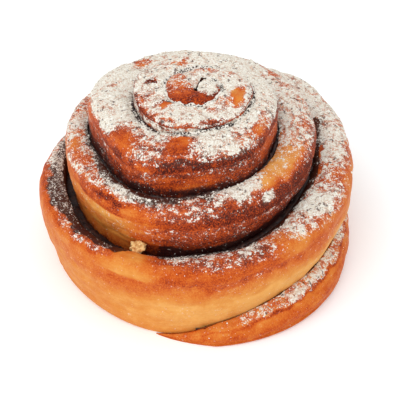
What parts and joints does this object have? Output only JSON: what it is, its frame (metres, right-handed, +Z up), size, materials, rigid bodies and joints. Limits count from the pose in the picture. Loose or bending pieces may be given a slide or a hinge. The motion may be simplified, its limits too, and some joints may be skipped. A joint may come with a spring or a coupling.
{
  "type": "cinnamon roll",
  "caption": "Baked cinnamon roll: a wound ribbon of dough risen into a stepped cone, dark filling between its coils, its tail tucked under the front.",
  "frame": {"origin": "under the middle of the roll's bounding box, on its flat underside", "axes": "+Z up through the raised middle; -Y is the front, where the tail of the ribbon comes out; +X is to the right seen from the front"},
  "size_m": [0.1036, 0.1102, 0.0598],
  "materials": {
    "dough": "baked crust, golden on the walls and red-brown on the rims, dusted with powdered sugar",
    "filling": "dark baked cinnamon and sugar, grainy and a little sticky"
  },
  "bodies": {
    "root": {"dough": "dough", "filling": "filling"}
  },
  "joints": []
}
